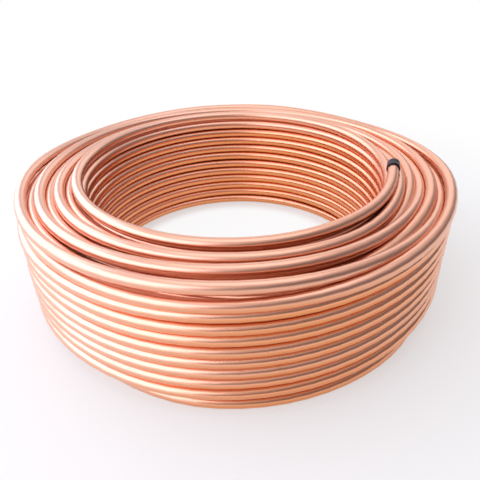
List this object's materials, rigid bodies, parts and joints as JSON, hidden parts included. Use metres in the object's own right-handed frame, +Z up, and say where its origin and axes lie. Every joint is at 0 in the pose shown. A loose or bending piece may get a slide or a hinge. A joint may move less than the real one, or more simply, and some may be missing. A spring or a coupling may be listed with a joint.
{
  "type": "copper tube coil",
  "caption": "Round level-wound coil of soft copper tube with an open eye, nested layers of turns and a capped free end, to pay out for plumbing, gas or refrigerant lines.",
  "frame": {"origin": "middle of the coil's footprint, on the floor that its lowest turns lie on", "axes": "+Z up along the coil's axis, through its eye; +X towards the free end of the tube; +Y away from the viewer of the picture"},
  "size_m": [0.5222, 0.5222, 0.1629],
  "materials": {
    "copper": "bright drawn copper, satin",
    "cap": "soft moulded vinyl, dark"
  },
  "bodies": {
    "root": {"tube_coil": "copper", "end_cap": "cap", "outer_end_cap": "cap"}
  },
  "joints": []
}
